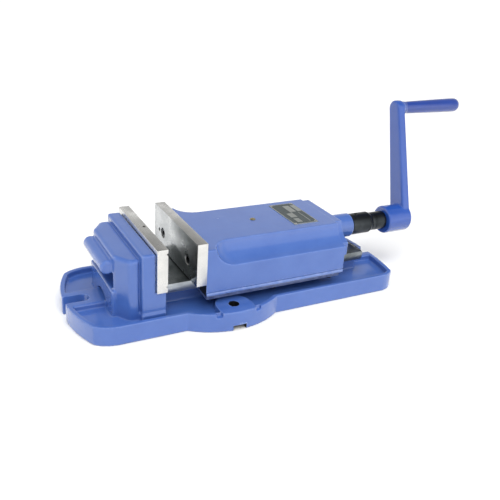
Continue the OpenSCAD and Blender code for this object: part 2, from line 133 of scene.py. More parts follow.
# The room's walls are white at the table's height and grey towards the ceiling.
studio = bpy.data.worlds.new("studio")
studio.use_nodes = True
sky = studio.node_tree
height = node(sky, "SeparateXYZ", {"Vector": node(sky, "TexCoord").outputs["Object"]})
walls = node(sky, "ValToRGB", {"Fac": height.outputs["Z"]})
walls.color_ramp.elements[0].position, walls.color_ramp.elements[0].color = 0.0, linear("#ffffff")
walls.color_ramp.elements[1].position, walls.color_ramp.elements[1].color = 1.0, linear("#767676")
for position, shade in ((0.12, "#f4f4f4"), (0.25, "#d8d8d8"), (0.42, "#c3c3c3")):
    walls.color_ramp.elements.new(position).color = linear(shade)
sky.links.new(walls.outputs["Color"], sky.nodes["Background"].inputs["Color"])
sky.nodes["Background"].inputs["Strength"].default_value = 1.0
bpy.context.scene.world = studio

# Painted table board: matt white, with the faintest grey mottle of a roller coat.
table_paint, tree, shader, place = new_finish("table_paint")
mottle = node(tree, "TexNoise", {"Vector": place, "Scale": 1 / 0.08, "Detail": 3.0})
shade = node(tree, "Mix", {"Factor": mottle.outputs["Fac"], "A": linear("#f8f8f8"),
                           "B": linear("#fcfcfc")}, data_type="RGBA")
tree.links.new(shade.outputs["Result"], shader.inputs["Base Color"])
shader.inputs["Roughness"].default_value = 0.9
bpy.ops.object.select_all(action="DESELECT")
TABLE_SIZE, TABLE_GAP = 40, 0.0005
bpy.ops.mesh.primitive_plane_add(size=TABLE_SIZE, location=(0, 0, cad_low.z - TABLE_GAP))
table_top = bpy.context.object
table_top.name = "table_top"
table_top.data.materials.append(table_paint)

# ---- Base casting --------------------------------------------------------------------
# One grey iron casting: a rimmed tray with a round bolting flange, the fixed jaw with
# its carrying bar, and the web under the slideway. It is sand cast, then enamelled blue;
# only the seats, the bolt holes and the underside are machined.

FACE_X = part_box("fixed_jaw_plate")[1].x
BASE_X0, BASE_X1, BASE_HALF = -109.0, 351.0, 84.5
LEFT_CORNER_R, LEFT_BOW_R, RIGHT_CORNER_R, RIGHT_BOW_R = 48, 164, 30, 340
RIM_TOP, FLOOR_TOP, RIM_WIDTH = 25.0, 17.0, 6.0
FLANGE_X, FLANGE_R = 85.0, 105.0
BOLT_Y, BOLT_R, BOSS_R = 84.0, 7.0, 24.0
WEB_HALF, WEB_TOP, WAY_END = 36.0, 40.0, 308.0
SLOT_HALF, LEFT_SLOT_X, RIGHT_SLOT_X = 9, -86, BASE_X1 - 33
KEY_HALF, KEY_DEPTH, KEY_START = 9, 7, 50
SEAT_Z = 53.2
# Lathe settings of a piece that stands upright. Without them a piece lies along X.
STANDING = {"axis": (0, 0, 1), "out": (1, 0, 0)}
# Points closer together than this are one point, in metres.
SAME_POINT = 2e-6
# Faces that meet at less than this many degrees are shaded as one smooth surface.
SHARP_EDGE = 32


def mm(x, y, z):
    """A point in millimetres, with x counted from the fixed jaw's clamping face."""
    return Vector((FACE_X + x / 1000, y / 1000, z / 1000))


def apply(piece, kind, **settings):
    """Puts a modifier on a piece, with its settings, and applies it."""
    bpy.ops.object.select_all(action="DESELECT")
    bpy.context.view_layer.objects.active = piece
    piece.select_set(True)
    modifier = piece.modifiers.new(kind.lower(), kind)
    for name, value in settings.items():
        setattr(modifier, name, value)
    bpy.ops.object.modifier_apply(modifier=modifier.name)


def fuse(piece, *others, how="UNION"):
    """Joins other solids to a piece, or cuts them out of it, and uses them up."""
    for other in others:
        apply(piece, "BOOLEAN", operation=how, solver="MANIFOLD", object=other)
        bpy.data.objects.remove(other)
    return piece


def cut(piece, *tools):
    return fuse(piece, *tools, how="DIFFERENCE")


def block(name, low, high, round_off=0.0, rounds=3):
    """A rectangular lump between two corners, with its edges rounded off in millimetres."""
    bpy.ops.object.select_all(action="DESELECT")
    bpy.ops.mesh.primitive_cube_add(size=1, enter_editmode=True)
    bpy.ops.transform.resize(value=high - low)
    bpy.ops.transform.translate(value=(low + high) / 2)
    if round_off:
        bpy.ops.mesh.bevel(offset=round_off / 1000, segments=rounds, affect="EDGES")
    bpy.ops.object.mode_set(mode="OBJECT")
    piece = bpy.context.object
    piece.name = piece.data.name = name
    return piece


def side_block(name, side, xs, ys, zs, *rounding):
    """A lump on one side of the vise: side is -1 for the front of it and +1 for the back."""
    near, far = sorted(side * y for y in ys)
    return block(name, mm(xs[0], near, zs[0]), mm(xs[1], far, zs[1]), *rounding)


def first_point(name, place):
    """A new piece that is a single point, in edit mode, ready to be drawn out."""
    bpy.ops.object.select_all(action="DESELECT")
    bpy.ops.mesh.primitive_plane_add(size=0.001, enter_editmode=True)
    bpy.ops.mesh.select_mode(type="VERT")
    bpy.ops.mesh.merge(type="CENTER")
    bpy.ops.transform.translate(value=place)
    piece = bpy.context.object
    piece.name = piece.data.name = name
    return piece


def line_to(step):
    bpy.ops.mesh.extrude_vertices_move(TRANSFORM_OT_translate={"value": step})


def arc_round(centre, degrees, steps):
    """Carries the outline's end round a centre, anticlockwise seen from above."""
    bpy.ops.mesh.spin(steps=steps, angle=math.radians(degrees), center=centre, axis=(0, 0, -1))


def raise_outline(push):
    """Closes the outline, fills it and draws it out into a solid."""
    bpy.ops.mesh.select_all(action="SELECT")
    bpy.ops.mesh.remove_doubles(threshold=SAME_POINT)
    bpy.ops.mesh.edge_face_add()
    bpy.ops.mesh.extrude_region_move(TRANSFORM_OT_translate={"value": push})


def close_up():
    """Merges doubles, turns the faces outwards and leaves edit mode."""
    bpy.ops.mesh.select_all(action="SELECT")
    bpy.ops.mesh.remove_doubles(threshold=SAME_POINT)
    bpy.ops.mesh.normals_make_consistent(inside=False)
    bpy.ops.object.mode_set(mode="OBJECT")


def turned(name, start, profile, steps=64, axis=(1, 0, 0), out=(0, 0, 1)):
    """A piece turned on a lathe from a closed profile of (distance along the axis, radius)
    points in millimetres."""
    along, across = Vector(axis) / 1000, Vector(out) / 1000
    points = [start + along * a + across * r for a, r in profile]
    piece = first_point(name, points[0])
    for here, there in zip(points, points[1:]):
        line_to(there - here)
    bpy.ops.mesh.select_all(action="SELECT")
    bpy.ops.mesh.spin(steps=steps, angle=math.tau, center=start, axis=axis)
    close_up()
    return piece


def rod(name, start, length, radius, steps=64, axis=(1, 0, 0), out=(0, 0, 1)):
    """A plain round bar, which also serves as a drill."""
    profile = [(0, 0), (0, radius), (length, radius), (length, 0)]
    return turned(name, start, profile, steps, axis, out)


def sand_cast(piece, grain, rubs, keep):
    """Rounds every edge and corner of a solid as a sand mould does, with the grain in
    millimetres. Then keeps that share of its faces."""
    apply(piece, "REMESH", mode="VOXEL", voxel_size=grain / 1000, use_smooth_shade=True)
    apply(piece, "SMOOTH", factor=0.5, iterations=rubs)
    apply(piece, "DECIMATE", decimate_type="COLLAPSE", ratio=keep)


def fit(piece, body, finish, slot, *nodes):
    """Shades a finished piece, gives it its finish and puts it on its body."""
    bpy.ops.object.select_all(action="DESELECT")
    bpy.context.view_layer.objects.active = piece
    piece.select_set(True)
    bpy.ops.object.shade_smooth_by_angle(angle=math.radians(SHARP_EDGE))
    if finish:
        piece.data.materials.clear()
        piece.data.materials.append(finish)
    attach(piece, body)
    if nodes:
        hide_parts(*nodes)
    return piece


def enamel(name, body_hex, thin_hex, gloss):
    """Gloss enamel sprayed on cast iron: a deep colour, clouded thinner and paler in places, a
    painted highlight along the convex edges, and the fine orange peel of the spray over the slow
    waves of the casting."""
    finish, tree, shader, place = new_finish(name)
    cloud = node(tree, "TexNoise", {"Vector": place, "Scale": 1 / 0.045, "Detail": 4.0,
                                    "Roughness": 0.6})
    tone = node(tree, "ValToRGB", {"Fac": cloud.outputs["Fac"]})
    tone.color_ramp.elements[0].position, tone.color_ramp.elements[1].position = 0.3, 0.75
    tone.color_ramp.elements[0].color = linear(body_hex)
    tone.color_ramp.elements[1].color = linear(thin_hex)
    # Painted highlight: the convex edges, found by pointiness, are mixed in broken patches towards a
    # pale blue that stands for light glancing along them.
    edge = node(tree, "NewGeometry")
    convex_edge_share = node(tree, "MapRange", {"Value": edge.outputs["Pointiness"], "From Min": 0.51,
                                   "From Max": 0.59, "To Min": 0.0, "To Max": 0.6})
    edge_highlight_breakup = node(tree, "TexNoise", {"Vector": place, "Scale": 1 / 0.006, "Detail": 2.0})
    painted_edge_highlight = node(tree, "Math", {0: convex_edge_share.outputs["Result"], 1: edge_highlight_breakup.outputs["Fac"]},
                 operation="MULTIPLY")
    paint = node(tree, "Mix", {"Factor": painted_edge_highlight.outputs["Value"], "A": tone.outputs["Color"],
                               "B": linear("#aebfe6")}, data_type="RGBA")
    tree.links.new(paint.outputs["Result"], shader.inputs["Base Color"])
    wave = node(tree, "TexNoise", {"Vector": place, "Scale": 1 / 0.014, "Detail": 2.0})
    peel = node(tree, "TexNoise", {"Vector": place, "Scale": 1 / 0.0012, "Detail": 1.0})
    swell = node(tree, "Bump", {"Height": wave.outputs["Fac"], "Strength": 0.3, "Distance": 0.0012})
    skin = node(tree, "Bump", {"Height": peel.outputs["Fac"], "Strength": 0.05,
                               "Distance": 0.0001, "Normal": swell.outputs["Normal"]})
    tree.links.new(skin.outputs["Normal"], shader.inputs["Normal"])
    sheen = node(tree, "MapRange", {"Value": wave.outputs["Fac"], "To Min": gloss - 0.05,
                                    "To Max": gloss + 0.08})
    tree.links.new(sheen.outputs["Result"], shader.inputs["Roughness"])
    shader.inputs["IOR"].default_value = 1.5
    shader.inputs["Coat Weight"].default_value = 0.8
    shader.inputs["Coat Roughness"].default_value = 0.14
    return finish


blue_enamel = enamel("gloss_enamel_on_cast_iron", "#4062aa", "#496bb2", 0.22)


def tray_outline(name):
    """The tray's plan: bowed ends, rounded corners and the round flange in the middle."""
    half = BASE_HALF
    ends = []
    for x_end, corner, bow, way in ((BASE_X0, LEFT_CORNER_R, LEFT_BOW_R, 1),
                                    (BASE_X1, RIGHT_CORNER_R, RIGHT_BOW_R, -1)):
        bow_x, corner_x, corner_y = x_end + way * bow, x_end + way * corner, half - corner
        # The point where the corner's arc runs into the bowed end's.
        reach = math.hypot(bow_x - corner_x, corner_y)
        along = (bow ** 2 - corner ** 2 + reach ** 2) / (2 * reach)
        aside = math.sqrt(bow ** 2 - along ** 2)
        ux, uy = (corner_x - bow_x) / reach, corner_y / reach
        meet = (bow_x + along * ux + way * aside * uy, along * uy + aside * abs(ux))
        ends.append((bow_x, corner_x, corner_y, meet))
    left_end, right_end = ends
    neck = math.sqrt(FLANGE_R ** 2 - half ** 2)

    def arc(x, y, start, end, steps):
        """Carries the outline round a centre from one point of its circle to another."""
        one = math.atan2(start[1] - y, start[0] - x)
        two = math.atan2(end[1] - y, end[0] - x)
        arc_round(mm(x, y, 0), math.degrees((two - one) % math.tau), steps)

    piece = first_point(name, mm(left_end[1], -half, 0))
    line_to(mm(FLANGE_X - neck, -half, 0) - mm(left_end[1], -half, 0))
    arc(FLANGE_X, 0, (FLANGE_X - neck, -half), (FLANGE_X + neck, -half), 40)
    bow_x, corner_x, corner_y, meet = right_end
    lower = (meet[0], -meet[1])
    line_to(mm(corner_x, -half, 0) - mm(FLANGE_X + neck, -half, 0))
    arc(corner_x, -corner_y, (corner_x, -half), lower, 12)
    arc(bow_x, 0, lower, meet, 24)
    arc(corner_x, corner_y, meet, (corner_x, half), 12)
    line_to(mm(FLANGE_X + neck, half, 0) - mm(corner_x, half, 0))
    arc(FLANGE_X, 0, (FLANGE_X + neck, half), (FLANGE_X - neck, half), 40)
    bow_x, corner_x, corner_y, meet = left_end
    lower = (meet[0], -meet[1])
    line_to(mm(corner_x, half, 0) - mm(FLANGE_X - neck, half, 0))
    arc(corner_x, corner_y, (corner_x, half), meet, 16)
    arc(bow_x, 0, meet, lower, 24)
    arc(corner_x, -corner_y, lower, (corner_x, -half), 16)
    return piece


base = tray_outline("base_casting_look")
raise_outline((0, 0, RIM_TOP / 1000))
bpy.ops.mesh.inset(thickness=RIM_WIDTH / 1000)
floor_drop = (0, 0, (FLOOR_TOP - RIM_TOP) / 1000)
bpy.ops.mesh.extrude_region_move(TRANSFORM_OT_translate={"value": floor_drop})
close_up()

# The fixed jaw stands on the tray's left half. Its half hexagon block is drawn out in plan and
# its edges are rounded before it is set against the jaw wall.
WALL_X0, WALL_X1, WALL_HALF, WALL_TOP = -31.0, -13.8, 71.5, 104.5
BLOCK_X0, BLOCK_TOP = -58.0, 97.0
half_hexagon = [(WALL_X0 + 1, -65), (WALL_X0 + 1, 65), (-44, 65),
                (BLOCK_X0, 44), (BLOCK_X0, -44), (-44, -65)]
jaw_block = first_point("jaw_block", mm(*half_hexagon[0], 0))
for here, there in zip(half_hexagon, half_hexagon[1:] + half_hexagon[:1]):
    line_to(mm(*there, 0) - mm(*here, 0))
raise_outline((0, 0, BLOCK_TOP / 1000))
bpy.ops.mesh.select_all(action="SELECT")
bpy.ops.mesh.normals_make_consistent(inside=False)
bpy.ops.mesh.bevel(offset=0.0045, segments=5, affect="EDGES")
close_up()
jaw_wall = block("jaw_wall", mm(WALL_X0, -WALL_HALF, 5),
                 mm(WALL_X1 + 0.2, WALL_HALF, WALL_TOP), 2.5)
jaw_ledge = block("jaw_ledge", mm(WALL_X1 - 4, -WALL_HALF, 5),
                  mm(-0.5, WALL_HALF, SEAT_Z + 0.2), 1.2)
jaw_foot = block("jaw_foot", mm(WALL_X0 - 1, -WALL_HALF - 2, 4), mm(-0.5, WALL_HALF + 2, 27), 2)
rear_wall = block("rear_wall", mm(-61, -48, 5), mm(BLOCK_X0 + 3, 48, 52), 1.4)
web = block("web", mm(-3, -WEB_HALF, 5), mm(WAY_END - 2, WEB_HALF, WEB_TOP), 1.2)
slot_bosses = [block("slot_boss", mm(x0, -20, 5), mm(x1, 20, RIM_TOP), 1.6)
               for x0, x1 in ((BASE_X0 + 2.5, -59), (WAY_END - 3, BASE_X1 - 2.5))]
# Each bolt lug is a round pad that runs out square to the rim, trimmed to the round flange.
lugs = []
for s in (-1, 1):
    pad = rod("lug", mm(FLANGE_X, s * BOLT_Y, 5), RIM_TOP - 4, BOSS_R, **STANDING)
    fuse(pad, side_block("pad_end", s, (FLANGE_X - BOSS_R, FLANGE_X + BOSS_R),
                         (BOLT_Y, FLANGE_R + 5), (5, RIM_TOP + 1)))
    flange_edge = rod("flange_edge", mm(FLANGE_X, 0, 0), 40, FLANGE_R - 0.4, 96, **STANDING)
    lugs.append(fuse(pad, flange_edge, how="INTERSECT"))
fuse(base, jaw_block, jaw_wall, jaw_ledge, jaw_foot, rear_wall, web, *slot_bosses, *lugs)

# The hand recess is cored out behind the carrying bar, and the bar is cast in front of it.
recess = block("recess", mm(-75, -41, 52.5), mm(-42, 41, 86), 3)
gaps = [side_block("gap", s, (WALL_X0 - 2.5, WALL_X0), (62.5, 75), (27, 110)) for s in (-1, 1)]
top_gap = block("top_gap", mm(WALL_X0 - 2.2, -75, BLOCK_TOP - 1.6), mm(WALL_X0, 75, 110))
mouths = [block("mouth", mm(x0, -SLOT_HALF, -5), mm(x1, SLOT_HALF, 30))
          for x0, x1 in ((-130, LEFT_SLOT_X), (RIGHT_SLOT_X, 370))]
slot_ends = [rod("slot_end", mm(x, 0, -5), 35, SLOT_HALF, **STANDING)
             for x in (LEFT_SLOT_X, RIGHT_SLOT_X)]
# The low arch over the left slot is cut through the rear wall only, down to the rim's height.
arch = cut(rod("arch", mm(-62, 0, 4), 17, 29, 96),
           block("floor_left_alone", mm(-70, -40, -40), mm(-30, 40, RIM_TOP)))
# A small notch in the rim each side of both lugs.
NOTCH_HALF, NOTCH_DEPTH, NOTCH_GAP = 4, 5, 3
notches = [side_block("notch", s, (x - NOTCH_HALF, x + NOTCH_HALF), (96, 110),
                      (RIM_TOP - NOTCH_DEPTH, 40), 1.5)
           for x in (FLANGE_X - BOSS_R - NOTCH_GAP, FLANGE_X + BOSS_R + NOTCH_GAP)
           for s in (-1, 1)]
cut(base, recess, *gaps, top_gap, *mouths, *slot_ends, arch, *notches)

BAR_R, BAR_X, BAR_Z, BAR_HALF = 9.0, -63.0, 81.0, 41.0
bar_end = [(0, 0), (0, BAR_R - 2.6), (0.8, BAR_R - 1), (2.4, BAR_R)]
bar = turned("carrying_bar", mm(BAR_X, -BAR_HALF, BAR_Z),
             bar_end + [(2 * BAR_HALF - a, r) for a, r in reversed(bar_end)], 48, (0, 1, 0))
bar_root = block("bar_root", mm(BAR_X, -38, 75), mm(BLOCK_X0 + 4, 38, 86), 2)
fuse(base, bar, bar_root)
sand_cast(base, 1.0, 7, 0.36)

# Machining after the casting has cooled: bolt holes, jaw seat, keyways and centring bore are
# sharp edged and bare, and the underside is cored out between its two feet.
drills = [rod("drill", mm(FLANGE_X, s * BOLT_Y, -5), 40, BOLT_R, **STANDING) for s in (-1, 1)]
keyways = [side_block("keyway", s, (FLANGE_X - KEY_HALF, FLANGE_X + KEY_HALF),
                      (KEY_START, FLANGE_R + 10), (-5, KEY_DEPTH)) for s in (-1, 1)]
register = rod("register", mm(FLANGE_X, 0, -5), 25, 15, **STANDING)
pockets = [block("pocket", mm(x0, -28, -5), mm(x1, 28, 30), 3) for x0, x1 in ((-48, 40), (118, 285))]
seat = block("seat", mm(WALL_X1, -80, SEAT_Z), mm(5, 80, 120))
# A narrow step all round the seat's edge leaves a dark line behind the jaw plate.
STEP_DEPTH, STEP_WIDTH = 1.5, 2.2
step = cut(block("seat_step", mm(WALL_X1 - STEP_DEPTH, -80, SEAT_Z), mm(WALL_X1 + 1, 80, 120)),
           block("seat_land", mm(WALL_X1 - 5, -WALL_HALF + STEP_WIDTH, 40),
                 mm(WALL_X1 + 5, WALL_HALF - STEP_WIDTH, WALL_TOP - 2.8)))
way_seat = block("way_seat", mm(-0.5, -60, WEB_TOP), mm(320, 60, 60))
flat = block("flat", mm(-150, -130, -5), mm(400, 130, 0.0))
cut(base, *drills, *keyways, register, *pockets, seat, step, way_seat, flat)
fit(base, "base", blue_enamel, "blue_enamel", "base_casting")


def cut_iron(name):
    """Machined grey iron, left bare and oiled, with the tool's marks and a little brown; its near
    black tone is partly painted shade for holes and hollows.
    """
    finish, tree, shader, place = new_finish(name)
    rust = node(tree, "TexNoise", {"Vector": place, "Scale": 1 / 0.004, "Detail": 4.0})
    tone = node(tree, "Mix", {"Factor": rust.outputs["Fac"], "A": linear("#17191c"),
                              "B": linear("#2c2b2a")}, data_type="RGBA")
    tree.links.new(tone.outputs["Result"], shader.inputs["Base Color"])
    shader.inputs["Metallic"].default_value = 0.6
    shader.inputs["Roughness"].default_value = 0.55
    tooling = node(tree, "TexNoise", {"Vector": place, "Scale": 1 / 0.0009, "Detail": 2.0})
    skin = node(tree, "Bump", {"Height": tooling.outputs["Fac"], "Strength": 0.3, "Distance": 0.0001})
    tree.links.new(skin.outputs["Normal"], shader.inputs["Normal"])
    return finish


bare_iron_with_painted_shade = cut_iron("machined_grey_iron_with_painted_shade")
base.data.materials.append(bare_iron_with_painted_shade)
# A face belongs to a machined surface when its middle is within this many millimetres of it.
NEAR = 0.1
# Painted shade, in part: the bolt holes and keyway walls take the near black bare iron so they read
# as dark hollows. The underside takes it as bare machined iron.
for face in base.data.polygons:
    x, y, z = (abs(c * 1000) for c in face.center)
    in_bolt_hole = math.hypot(x, y - BOLT_Y) < BOLT_R + 0.15 and z < RIM_TOP + 1.2
    in_keyway = z < KEY_DEPTH + NEAR and x < KEY_HALF + NEAR and y > KEY_START - NEAR
    on_keyway_wall = z > KEY_DEPTH - NEAR or x > KEY_HALF - NEAR or y < KEY_START + NEAR
    if in_bolt_hole or (in_keyway and on_keyway_wall) or z < 0.05:
        face.material_index = 1

# ---- Slideway ------------------------------------------------------------------------
# A hardened steel plate screwed on top of the web. Its upper face and sides are surface
# ground; oil and use have darkened the top. The channel down its middle keys the nut.

WAY_HALF, WAY_TOP = 53.0, 52.0
WAY_SCREWS_X, WAY_SCREW_Y = (60, 110, 158, 232, 284), 27.0
# The sides take the bright steel up to this distance along the plate, and the darker steel of its top
# beyond it.
BRIGHT_TO = 160


def ground_steel(name, bright_hex, dark_hex, grit, lay, rough, smear):
    """Surface ground steel: fine parallel wheel marks, with cloudy patches of handling and old
    oil. The lay says how far a mark runs along X, Y and Z, in millimetres."""
    finish, tree, shader, place = new_finish(name)
    marks = node(tree, "Mapping", {"Vector": place, "Scale": [1000 / run for run in lay]})
    wheel = node(tree, "TexNoise", {"Vector": marks.outputs["Vector"], "Scale": 1.0,
                                    "Detail": 4.0, "Roughness": 0.65})
    cloud = node(tree, "TexNoise", {"Vector": place, "Scale": 1 / 0.028, "Detail": 5.0,
                                    "Roughness": 0.62})
    stain = node(tree, "MapRange", {"Value": cloud.outputs["Fac"], "From Min": 0.35,
                                    "From Max": 0.7, "To Min": 0.0, "To Max": smear})
    streak = node(tree, "MapRange", {"Value": wheel.outputs["Fac"], "From Min": 0.3,
                                     "From Max": 0.7, "To Min": 0.0, "To Max": 1 - smear})
    both = node(tree, "Math", {0: stain.outputs["Result"], 1: streak.outputs["Result"]},
                operation="ADD")
    tone = node(tree, "Mix", {"Factor": both.outputs["Value"], "A": linear(bright_hex),
                              "B": linear(dark_hex)}, data_type="RGBA")
    tree.links.new(tone.outputs["Result"], shader.inputs["Base Color"])
    shader.inputs["Metallic"].default_value = 1.0
    polish = node(tree, "MapRange", {"Value": cloud.outputs["Fac"], "From Min": 0.3,
                                     "From Max": 0.75, "To Min": rough - 0.06,
                                     "To Max": rough + 0.12})
    tree.links.new(polish.outputs["Result"], shader.inputs["Roughness"])
    scratch = node(tree, "Bump", {"Height": wheel.outputs["Fac"], "Strength": 0.25,
                                  "Distance": grit / 1000})
    tree.links.new(scratch.outputs["Normal"], shader.inputs["Normal"])
    return finish


way_steel = ground_steel("oiled_ground_steel", "#9aa0a3", "#4b5150",
                         0.05, (14, 0.5, 0.5), 0.3, 0.6)
rail_steel = ground_steel("ground_steel_of_the_sides", "#bfc4c8", "#7f868b",
                          0.03, (18, 2.0, 0.6), 0.3, 0.5)
plate_steel = ground_steel("hardened_ground_steel", "#edece8", "#c2c2bf",
                           0.02, (0.3, 16, 0.3), 0.28, 0.4)


def round_head(name, shank_r, shank_l, head_r, head_h, socket, top):
    """A hexagon socket screw stood on its point, with the top of its head at the given place."""
    profile = [(0.4 - head_h - shank_l, 0), (0.4 - head_h - shank_l, shank_r - 0.6),
               (1 - head_h - shank_l, shank_r), (-head_h, shank_r), (-head_h, head_r),
               (-0.5, head_r), (0, head_r - 0.5), (0, 0)]
    screw = turned(name, top, profile, 40, **STANDING)
    key_foot = top + Vector((0, 0, -socket / 1000))
    return cut(screw, rod("hex_key", key_foot, 10, socket, 6, **STANDING))


def copies(piece, places, turn=None):
    """One modelled piece repeated at each place, every copy with its own mesh, as one set."""
    made = []
    for place in places:
        twin = piece.copy()
        twin.data = piece.data.copy()
        bpy.context.scene.collection.objects.link(twin)
        twin.data.transform(Matrix.Translation(place) @ (turn or Matrix.Identity(4)))
        made.append(twin)
    bpy.data.objects.remove(piece)
    bpy.ops.object.select_all(action="DESELECT")
    for twin in made:
        twin.select_set(True)
    bpy.context.view_layer.objects.active = made[0]
    bpy.ops.object.join()
    return bpy.context.object


def black_oxide_finish(name, hex_dark, hex_edge, rough):
    """Chemically blacked steel: near black, with a dull shine and corners rubbed grey."""
    finish, tree, shader, place = new_finish(name)
    bloom = node(tree, "TexNoise", {"Vector": place, "Scale": 1 / 0.007, "Detail": 4.0})
    edge = node(tree, "NewGeometry")
    rubbed = node(tree, "MapRange", {"Value": edge.outputs["Pointiness"], "From Min": 0.53,
                                     "From Max": 0.66})
    convex_edge_share = node(tree, "Math", {0: rubbed.outputs["Result"], 1: bloom.outputs["Fac"]},
                operation="MULTIPLY")
    tone = node(tree, "Mix", {"Factor": convex_edge_share.outputs["Value"], "A": linear(hex_dark),
                              "B": linear(hex_edge)}, data_type="RGBA")
    tree.links.new(tone.outputs["Result"], shader.inputs["Base Color"])
    shader.inputs["Metallic"].default_value = 1.0
    dull = node(tree, "MapRange", {"Value": bloom.outputs["Fac"], "To Min": rough - 0.03,
                                   "To Max": rough + 0.05})
    tree.links.new(dull.outputs["Result"], shader.inputs["Roughness"])
    turning = node(tree, "Mapping", {"Vector": place, "Scale": (1 / 0.0005, 1 / 0.02, 1 / 0.02)})
    lathe = node(tree, "TexNoise", {"Vector": turning.outputs["Vector"], "Scale": 1.0, "Detail": 2.0})
    skin = node(tree, "Bump", {"Height": lathe.outputs["Fac"], "Strength": 0.06,
                               "Distance": 0.00005})
    tree.links.new(skin.outputs["Normal"], shader.inputs["Normal"])
    return finish


black_oxide = black_oxide_finish("black_oxide_on_steel", "#34383b", "#7c8184", 0.28)

way = block("slideway_look", mm(-0.5, -WAY_HALF, WEB_TOP), mm(WAY_END, WAY_HALF, WAY_TOP))
bpy.ops.object.mode_set(mode="EDIT")
bpy.ops.mesh.select_all(action="DESELECT")
bpy.ops.object.mode_set(mode="OBJECT")
# The plate's far end has its two upright corners rounded off.
for edge in way.data.edges:
    a, b = (way.data.vertices[i].co for i in edge.vertices)
    edge.select = abs(a.z - b.z) > 0.005 and a.x > mm(200, 0, 0).x
bpy.ops.object.mode_set(mode="EDIT")
bpy.ops.mesh.select_mode(type="EDGE")
bpy.ops.mesh.bevel(offset=0.009, segments=12, affect="EDGES")
bpy.ops.object.mode_set(mode="OBJECT")
apply(way, "BEVEL", width=0.0008, segments=2, limit_method="ANGLE", angle_limit=math.radians(60))
channel = block("channel", mm(66.8, -10.5, 30), mm(WAY_END - 40, 10.5, 60))
sink_profile = [(0, 0), (0, 4), (16.5, 4), (16.5, 7), (21.6, 7), (22.6, 8), (40, 8), (40, 0)]
sinks = [turned("sink", mm(x, s * WAY_SCREW_Y, 30), sink_profile, 40, **STANDING)
         for x in WAY_SCREWS_X for s in (-1, 1)]
cut(way, channel, *sinks)
fit(way, "base", way_steel, "way_steel", "slideway")
way.data.materials.append(rail_steel)
bpy.ops.object.mode_set(mode="EDIT")
bpy.ops.mesh.select_all(action="SELECT")
bpy.ops.mesh.bisect(plane_co=mm(BRIGHT_TO, 0, 0), plane_no=(1, 0, 0))
bpy.ops.object.mode_set(mode="OBJECT")
for face in way.data.polygons:
    if abs(face.normal.y) > 0.5 and face.center.x < mm(BRIGHT_TO, 0, 0).x:
        face.material_index = 1
way_screw = round_head("way_screw", 4, 16.4, 6.8, 4.4, 3.0, Vector((0, 0, 0)))
way_screws = copies(way_screw, [mm(x, s * WAY_SCREW_Y, WAY_TOP - 0.2)
                                for x in WAY_SCREWS_X for s in (-1, 1)])
way_screws.name = "slideway_screws_look"
fit(way_screws, "base", black_oxide, "black_oxide", "slideway_screws")

# ---- Jaw plates ----------------------------------------------------------------------
# Two hardened steel plates, ground all over, each held by two sunk cap screws. The fixed one
# has two V grooves across it, to grip round bars, and a small work stop hole in its top.

PLATE_HALF, PLATE_T, PLATE_Z0, PLATE_Z1 = 75.0, 13.8, 53.5, 110.3
PLATE_SCREW_Y, PLATE_SCREW_Z, JAW_GAP = 43.0, 78.0, 37.0


def jaw_plate(name, x_face, way):
    """A plate whose clamping face is at x_face. Its body lies beyond that face: towards the
    crank where way is 1, away from it where way is -1."""
    x0, x1 = sorted((x_face, x_face + way * PLATE_T))
    plate = block(name, mm(x0, -PLATE_HALF, PLATE_Z0), mm(x1, PLATE_HALF, PLATE_Z1), 0.7, 2)
    profile = [(0, 0), (0, 8.1), (1.6, 6.8), (10, 6.8), (10, 4.3), (20, 4.3), (20, 0)]
    counterbores = [turned("counterbore", mm(x_face - way * 1, s * PLATE_SCREW_Y, PLATE_SCREW_Z),
                           profile, 48, (way, 0, 0)) for s in (-1, 1)]
    return cut(plate, *counterbores)


fixed_plate = jaw_plate("fixed_jaw_plate_look", 0, -1)
# A V groove is a square bar turned on its corner and cut out of the face.
GROOVE_HALF = 1.7
grooves = []
for z in (PLATE_Z0 + 8, PLATE_Z1 - 6.5):
    groove = block("v_groove", mm(-GROOVE_HALF, -80, -GROOVE_HALF) - mm(0, 0, 0),
                   mm(GROOVE_HALF, 80, GROOVE_HALF) - mm(0, 0, 0))
    bpy.ops.object.mode_set(mode="EDIT")
    bpy.ops.mesh.select_all(action="SELECT")
    bpy.ops.transform.rotate(value=math.radians(45), orient_axis="Y", center_override=(0, 0, 0))
    bpy.ops.transform.translate(value=mm(0, 0, z))
    bpy.ops.object.mode_set(mode="OBJECT")
    grooves.append(groove)
stop_hole = turned("stop_hole", mm(-4, 0, PLATE_Z1 - 12),
                   [(0, 0), (0, 2.2), (11.4, 2.2), (13, 3.6), (13, 0)], 32, **STANDING)
cut(fixed_plate, *grooves, stop_hole)
fit(fixed_plate, "base", plate_steel, "ground_steel", "fixed_jaw_plate")
moving_plate = jaw_plate("movable_jaw_plate_look", JAW_GAP, 1)
cut(moving_plate, turned("side_hole", mm(JAW_GAP - 1, 56.5, PLATE_SCREW_Z),
                         [(0, 0), (0, 3.6), (1.4, 2.5), (9, 2.5), (9, 0)], 32))
fit(moving_plate, "movable_jaw", plate_steel, "ground_steel", "movable_jaw_plate")
# The faces that clamp the work are ground too, and take a greyer copy of the steel than the ends.
clamping_steel = ground_steel("greyer_ground_clamping_face", "#cccece", "#a3a7a8",
                              0.02, (0.3, 16, 0.3), 0.27, 0.5)
for plate, way_out in ((fixed_plate, 1), (moving_plate, -1)):
    plate.data.materials.append(clamping_steel)
    for face in plate.data.polygons:
        if face.normal.x * way_out > 0.9:
            face.material_index = 1

